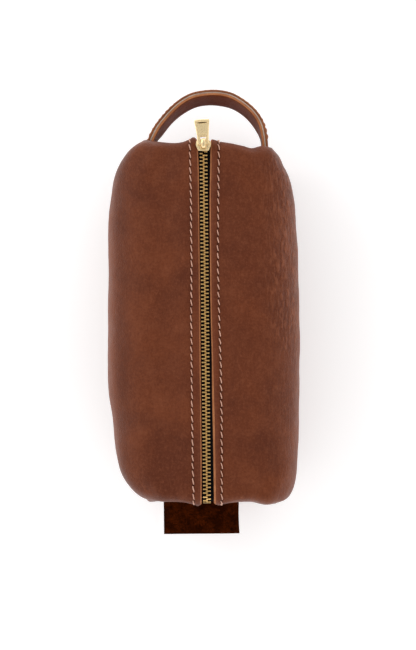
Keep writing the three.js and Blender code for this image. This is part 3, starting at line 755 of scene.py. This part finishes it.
# ---------------------------------------------------------------- slider and pull
def plate(name, outline, z0, z1, bevel, holes=()):
    """Points and faces of a flat metal plate with rounded edges; the outline is (x, y)."""
    curve = bpy.data.curves.new(name, "CURVE")
    curve.dimensions, curve.fill_mode = "2D", "BOTH"
    curve.extrude = (z1 - z0) / 2 - bevel
    curve.bevel_depth, curve.bevel_resolution = bevel, 2
    for loop in (outline, *holes):
        spline = curve.splines.new("POLY")
        spline.points.add(len(loop) - 1)
        for point, (x, y) in zip(spline.points, loop):
            point.co = (x, y, 0, 1)
        spline.use_cyclic_u = True
    obj = bpy.data.objects.new(name, curve)
    bpy.context.scene.collection.objects.link(obj)
    bpy.context.view_layer.update()
    data = bpy.data.meshes.new_from_object(obj.evaluated_get(bpy.context.evaluated_depsgraph_get()))
    bpy.data.objects.remove(obj)
    co = np.zeros(len(data.vertices) * 3)
    data.vertices.foreach_get("co", co)
    co = co.reshape(-1, 3) + [0, 0, (z0 + z1) / 2]
    return co, [list(f.vertices) for f in data.polygons]


def inset(outline, d):
    """Pulls an outline in by the bevel, which the curve adds again."""
    pts = np.array(outline, float)
    out = []
    for i, p in enumerate(pts):
        a, b = p - pts[i - 1], pts[(i + 1) % len(pts)] - p
        na = np.array([a[1], -a[0]]) / (np.linalg.norm(a) + 1e-9)
        nb = np.array([b[1], -b[0]]) / (np.linalg.norm(b) + 1e-9)
        m = na + nb
        out.append(tuple(p - m / (np.dot(m, m) + 1e-9) * 2 * d))
    return out


def round_corners(outline, r, steps=4):
    pts = np.array(outline, float)
    out = []
    for i, p in enumerate(pts):
        a, b = pts[i - 1] - p, pts[(i + 1) % len(pts)] - p
        la, lb = np.linalg.norm(a), np.linalg.norm(b)
        k = min(r, la * 0.45, lb * 0.45)
        for t in np.linspace(0, 1, steps):
            q0, q1 = p + a / la * k, p + b / lb * k
            out.append(tuple((1 - t) ** 2 * q0 + 2 * t * (1 - t) * p + t * t * q1))
    return out


def mirrored(half):
    return half + [(-x, y) for x, y in half[::-1]]


low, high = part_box("slider_body")
TAIL, NOSE, FOOT_NOSE = low.y / MM + 1.2, high.y / MM, 121.6
EYE_Y, EYE_Z = 121.0, 111.35            # the pull's hinge


def wing(nose):
    return mirrored([(3.6, TAIL), (4.0, TAIL + 1.2), (5.1, TAIL + 3.4), (5.1, nose - 2.6), (4.5, nose - 1.0),
                     (3.2, nose)])


def bail():
    """Rings along the arch that the pull hangs on."""
    arch = [(-3.0, 108.6), (-3.0, 111.6), (-2.7, 112.7), (-1.9, 113.3), (0, 113.5), (1.9, 113.3),
            (2.7, 112.7), (3.0, 111.6), (3.0, 108.6)]
    last = len(arch) - 1
    fy = through([(i, EYE_Y + y) for i, (y, z) in enumerate(arch)])
    fz = through([(i, z) for i, (y, z) in enumerate(arch)])
    around = ((-1.35, -0.35), (-1.2, -0.5), (1.2, -0.5), (1.35, -0.35), (1.35, 0.2), (1.1, 0.45),
              (-1.1, 0.45), (-1.35, 0.2))
    rings = []
    for t in np.linspace(0, last, 33):
        ahead, behind = min(t + 0.05, last), max(t - 0.05, 0)
        dy, dz = float(fy(ahead) - fy(behind)), float(fz(ahead) - fz(behind))
        length = math.hypot(dy, dz)
        ny, nz = -dz / length, dy / length
        rings.append([[u, float(fy(t)) + ny * v, float(fz(t)) + nz * v] for u, v in around])
    return rings


def zip_slider():
    """Upper and lower wing, a raised rib on each side and the bail."""
    parts = Parts()
    for z0, z1, b, nose in ((107.5, 108.75, 0.3, NOSE), (102.4, 103.5, 0.2, FOOT_NOSE)):
        parts.add(*plate("wing", inset(round_corners(wing(nose), 0.9), b), z0, z1, b))
    for u in (-1, 1):
        rib = [(u * 1.5, TAIL + 0.6), (u * 3.3, TAIL + 0.6), (u * 4.2, TAIL + 3.8), (u * 4.2, NOSE - 2.0),
               (u * 2.0, NOSE - 0.8)]
        parts.add(*plate("rib", inset(round_corners(rib[::u], 0.7), 0.3), 108.5, 109.25, 0.3))
    parts.rings(bail())
    slider = parts.make("zip_slider", [BRASS_PALE])
    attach(slider, "slider")
    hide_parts("slider_body")


LENGTH, DROOP, ASKEW = 16.8, math.radians(8.5), math.radians(3.5)
RECESS_Y = 14.35


def zip_pull():
    """Plate with an eye and a recess with a dark floor of painted shade, a rolled bar at the tip, side rims
    and a bridge by the eye.
    """
    outline = [(3.3, -0.8), (3.8, 0.2), (3.9, 3.0), (4.05, 6.0), (4.6, 11.0), (5.25, 15.6), (4.9, LENGTH)]
    eye = [(-2.12, 0.75), (-2.12, 4.6), (-1.908, 4.9), (1.908, 4.9), (2.12, 4.6), (2.12, 0.75)]
    lens = [(4.1 * math.cos(a), RECESS_Y + (0.85 if math.sin(a) > 0 else 0.75) * math.sin(a))
            for a in np.linspace(0, -2 * math.pi, 24, endpoint=False)]
    web = [(x * 1.05, RECESS_Y + (y - RECESS_Y) * 1.3) for x, y in lens[::-1]]
    bridge = [(2.7, 5.7), (2.7, 6.7), (-2.7, 6.7), (-2.7, 5.7)]
    parts = Parts()
    parts.add(*plate("pull", inset(round_corners(mirrored(outline), 0.8), 0.28), -0.75, 0.75, 0.28,
                     holes=[round_corners(eye, 0.4, 3), lens]))
    # dark floor under the recess: painted shade
    parts.add(*plate("web", web, -0.45, -0.15, 0.02), 1)
    bar = []
    for x in np.linspace(-4.75, 4.75, 15):
        r = 0.95 * (1 - 0.35 * abs(x / 4.75) ** 4)
        bar.append([[x, 16.0 - 0.05 + r * math.cos(k * math.pi / 6), 0.15 + r * math.sin(k * math.pi / 6)]
                    for k in range(12)])
    parts.rings(bar)
    for u in (-1, 1):
        rim = [(u * 3.15, 0.6), (u * 3.65, 0.6), (u * 3.85, 5.8), (u * 4.5, 12.4), (u * 4.0, 12.4),
               (u * 3.35, 5.8)]
        parts.add(*plate("bead", inset(round_corners(rim[::u], 0.2), 0.1), 0.5, 0.98, 0.1))
    parts.add(*plate("bridge", inset(round_corners(bridge, 0.3), 0.12), 0.5, 1.0, 0.12))
    pull = parts.make("zip_pull", [BRASS_PALE, BRASS_DARK])
    pull.data.transform(Matrix.Rotation(ASKEW, 4, "Z") @ Matrix.Rotation(-DROOP, 4, "X"))
    pull.location = (0, EYE_Y * MM, EYE_Z * MM)
    bpy.context.view_layer.update()
    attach(pull, "pull")
    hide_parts("pull_tab")


zip_slider()
zip_pull()

# ---------------------------------------------------------------- handle
HANDLE = [(-40.6, 119.5), (-39.8, 126.5), (-36.8, 132), (-31.0, 140.8), (-24.8, 148.4), (-15.5, 156.2),
          (-5, 161.2), (6, 162.6), (18, 160.8), (29.4, 154.6), (38.4, 145.6), (43.5, 135.5), (45.2, 126.5),
          (45.4, 118.5)]
STRAP_HIGH, PLY = 22.0, 1.9
STRAP_STITCH, STRAP_MARGIN = 4.0, 2.6   # length of a stitch, and its distance from the strap's edge
STRAP_DROOP = math.radians(12)


def eased_path(points, passes=160):
    """Dense line through the points with its bends evened out, and the length run at each place."""
    spaced = [0.0]
    for a, b in zip(points, points[1:]):
        spaced.append(spaced[-1] + math.dist(a, b))
    dense = np.linspace(0, spaced[-1], 400)
    x = through([(s, p[0]) for s, p in zip(spaced, points)])(dense)
    y = through([(s, p[1]) for s, p in zip(spaced, points)])(dense)
    for _ in range(passes):
        x[1:-1] = (x[:-2] + 2 * x[1:-1] + x[2:]) / 4
        y[1:-1] = (y[:-2] + 2 * y[1:-1] + y[2:]) / 4
    return x, y, np.concatenate([[0], np.cumsum(np.hypot(np.diff(x), np.diff(y)))])


HANDLE_X, HANDLE_Y, HANDLE_RUN = eased_path(HANDLE)


def handle_at(s):
    """Outer line of the strap seen from above, and the direction into the loop."""
    def spot(v):
        return np.array([np.interp(v, HANDLE_RUN, HANDLE_X), np.interp(v, HANDLE_RUN, HANDLE_Y)])
    t = spot(s + 0.6) - spot(s - 0.6)
    t /= np.linalg.norm(t)
    return spot(s), np.array([t[1], -t[0]])


def drooped(p):
    """Turns a point about the hinge by the strap's droop, easing in where it leaves the bag."""
    x, y, z = p
    a = -STRAP_DROOP * float(smooth((y - 124) / 14))
    dy, dz = y - PIVOT_Y, z - PIVOT_Z
    return [x, PIVOT_Y + dy * math.cos(a) - dz * math.sin(a), PIVOT_Z + dy * math.sin(a) + dz * math.cos(a)]


def strap_section(near, far, half, b=0.45):
    """Upright strip from near to far, with its long edges rounded by b."""
    rise = np.linspace(-half + b, half - b, 9)[1:-1]
    section = [(near, -half + b), (near + b * 0.3, -half + b * 0.3), (near + b, -half), (far - b, -half),
               (far - b * 0.3, -half + b * 0.3), (far, -half + b)]
    section += [(far, v) for v in rise]
    section += [(far, half - b), (far - b * 0.3, half - b * 0.3), (far - b, half), (near + b, half),
                (near + b * 0.3, half - b * 0.3), (near, half - b)]
    return section + [(near, v) for v in np.linspace(half - b, -half + b, 9)[1:-1]]


def strap(name, near, far, faces_mat, edge_mat, wave=0.12):
    """One layer of the strap, from near to far inside its outer line."""
    half = STRAP_HIGH / 2
    section = strap_section(near, far, half)
    stations = np.linspace(0.5, HANDLE_RUN[-1] - 0.5, 150)
    rings = []
    for s in stations:
        p, n = handle_at(s)
        ring = []
        for o, v in section:
            soft = wave * math.sin(s * 0.21 + 1.0) * (v / half)
            q = p + n * (o + soft)
            ring.append(drooped([q[0], q[1], PIVOT_Z + v + 0.25 * math.sin(s * 0.16)]))
        rings.append(ring)
    parts = Parts()
    parts.rings(rings)
    around, cut_edge = len(section), (1, 2, 3, 14, 15, 16)
    parts.index = [1 if i < (len(rings) - 1) * around and i % around in cut_edge else 0
                   for i in range(len(parts.faces))]
    obj = parts.make(name, [faces_mat, edge_mat])
    # lighter by the strap's long edges
    wear = [0.7 if abs(v) > half - 0.6 else 0.05 for _ in rings for o, v in section]
    reach = HANDLE_RUN[-1]
    # painted shade, darker by the feet
    shade = smooth((np.abs(stations - reach / 2) - reach * 0.22) / (reach * 0.22)) * 0.9
    for key, value in (("wear", np.array(wear)), ("shade", np.repeat(shade, around))):
        data = obj.data.attributes.new(key, "FLOAT", "POINT")
        data.data.foreach_set("value", value.astype(np.float32))
    return obj


def strap_stitches(name, level):
    """A row of stitches on the strap's outer face, level above or below its middle."""
    parts = Parts()
    s = 6.0
    while s < HANDLE_RUN[-1] - 10:
        path, normal, across = [], [], []
        for f in np.linspace(0, 1, 7):
            p, n = handle_at(s + 0.35 + (STRAP_STITCH - 0.7) * f)
            q = p - n * (0.55 * math.sin(math.pi * f) ** 0.6 - 0.2)
            z = PIVOT_Z + level + (f - 0.5) * 0.5
            a = np.array(drooped([q[0], q[1], z]))
            path.append(a)
            normal.append(np.array([-n[0], -n[1], 0]))
            across.append(np.array(drooped([q[0], q[1], z + 1])) - a)
        capsule(parts, path, normal, across, 0.5)
        s += STRAP_STITCH
    return parts.make(name, [THREAD_DARK])


row = STRAP_HIGH / 2 - STRAP_MARGIN
pieces = [
    (strap("handle_outer", 0.0, PLY - 0.2, STRAP, EDGE_DARK), "handle_outer_ply", "leather"),
    (strap("handle_core", PLY - 0.25, PLY + 0.6, EDGE_PALE, EDGE_PALE), "handle_foot_left", "leather"),
    (strap("handle_inner", PLY + 0.55, 2 * PLY + 0.4, STRAP, EDGE), "handle_inner_ply", "leather"),
    (strap_stitches("handle_stitches_upper", row), "handle_stitch_upper", "thread"),
    (strap_stitches("handle_stitches_lower", -row), "handle_stitch_lower", "thread"),
]
for obj, node, slot in pieces:
    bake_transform(obj)
    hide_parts(node)
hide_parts("handle_foot_left", "handle_foot_right")

# ---------------------------------------------------------------- end tab
TAB_LEFT, TAB_RIGHT = -31.0, 23.0
TAB_ROOT, TAB_LENGTH = -122.5, 28.8
TAB_SAG = math.radians(5)
TAB_COLS, TAB_ROWS = 46, 24


def tab_middle():
    """Middle surface of the tab: it sags from the seam on and curls a little towards its end."""
    grid = np.zeros((TAB_ROWS, TAB_COLS, 3))
    for j in range(TAB_ROWS):
        f = j / (TAB_ROWS - 1)
        y = TAB_ROOT - f * TAB_LENGTH
        out = max(0.0, -y - 127.8)
        for i in range(TAB_COLS):
            u = i / (TAB_COLS - 1)
            x = TAB_LEFT + (TAB_RIGHT - TAB_LEFT) * u - 0.5 * u * math.sin(math.pi * f)
            curl = 0.5 * math.sin(u * 3.3) * f + 0.35 * math.sin(u * 7 + 2) * f
            grid[j, i] = x, y, SEAM - out * math.tan(TAB_SAG) + curl
    return grid


def end_tab():
    """Strip of leather, suede side up with an uneven nap."""
    top = tab_middle()
    rows, cols = TAB_ROWS, TAB_COLS
    nap = np.random.default_rng(4).normal(0, 0.05, top.shape[:2])
    upper = top + np.stack([nap * 0, nap * 0, nap + 1.0], axis=2)
    lower = top - [0, 0, 1.0]
    points = np.concatenate([upper.reshape(-1, 3), lower.reshape(-1, 3)])
    faces, index, count = [], [], rows * cols
    for j in range(rows - 1):
        for i in range(cols - 1):
            a = j * cols + i
            faces.append([a, a + cols, a + cols + 1, a + 1])
            index.append(0)
            faces.append([count + a, count + a + 1, count + a + cols + 1, count + a + cols])
            index.append(1)
    rim = list(range(cols)) + [j * cols + cols - 1 for j in range(1, rows)]
    rim += [(rows - 1) * cols + i for i in range(cols - 2, -1, -1)]
    rim += [j * cols for j in range(rows - 2, 0, -1)]
    for a, b in zip(rim, rim[1:] + rim[:1]):
        faces.append([a, b, count + b, count + a])
        index.append(2)
    return new_mesh("end_tab_strip", points, faces, [SUEDE, STRAP, TAB_EDGE], index)


tab = end_tab()
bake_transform(tab)
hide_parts("end_tab")

# ---------------------------------------------------------------- floor, light and camera
FLOOR_HALF = 3000                       # millimetres, as every mesh
CAMERA_AT = (0.0019, -0.0021, 1.213)    # metres from here on


def lay_floor():
    h = FLOOR_HALF
    floor = new_mesh("floor", [[-h, -h, 0], [h, -h, 0], [h, h, 0], [-h, h, 0]], [[0, 1, 2, 3]], [])
    m = Mat("floor_white", Roughness=0.9, Specular_IOR_Level=0.0, Emission_Color=(1.0, 0.985, 0.985))
    m.set(Base_Color=m.mix(m.band(m.noise(0.004, 2), 0.3, 0.7), (0.90, 0.895, 0.895), (0.915, 0.91, 0.91)),
          Emission_Strength=0.27)
    floor.data.materials.append(m.material)
    floor.location.z = -0.0002


def light_studio():
    """A white surround, bright at the horizon and dim overhead, and a small key light on the left."""
    world = bpy.data.worlds.new("studio")
    bpy.context.scene.world = world
    world.use_nodes = True
    tree = world.node_tree
    back = tree.nodes["Background"]
    coord = tree.nodes.new("ShaderNodeTexCoord")
    split = tree.nodes.new("ShaderNodeSeparateXYZ")
    ramp = tree.nodes.new("ShaderNodeMapRange")
    tree.links.new(coord.outputs["Generated"], split.inputs[0])
    tree.links.new(split.outputs["Z"], ramp.inputs["Value"])
    for name, value in (("From Min", 0.0), ("From Max", 1.0), ("To Min", 2.15), ("To Max", 0.46)):
        ramp.inputs[name].default_value = value
    tree.links.new(ramp.outputs["Result"], back.inputs["Strength"])
    back.inputs["Color"].default_value = (1, 1, 1, 1)

    light = bpy.data.lights.new("key", "AREA")
    light.shape, light.size, light.size_y, light.energy = "RECTANGLE", 0.45, 0.6, 2.2
    key = bpy.data.objects.new("key", light)
    bpy.context.scene.collection.objects.link(key)
    key.location = (-0.75, 0.55, 0.85)
    key.rotation_euler = (Vector((0, 0, 0.08)) - key.location).to_track_quat("-Z", "Y").to_euler()


def place_camera():
    """Straight above the bag, turned by a hair."""
    camera = bpy.data.objects.new("camera", bpy.data.cameras.new("camera"))
    bpy.context.scene.collection.objects.link(camera)
    camera.data.lens, camera.data.sensor_width = 90, 36
    camera.location = CAMERA_AT
    camera.rotation_euler = (0, 0, math.radians(-0.57))
    bpy.context.scene.camera = camera


lay_floor()
light_studio()
place_camera()
bpy.context.scene.view_settings.view_transform = "Standard"
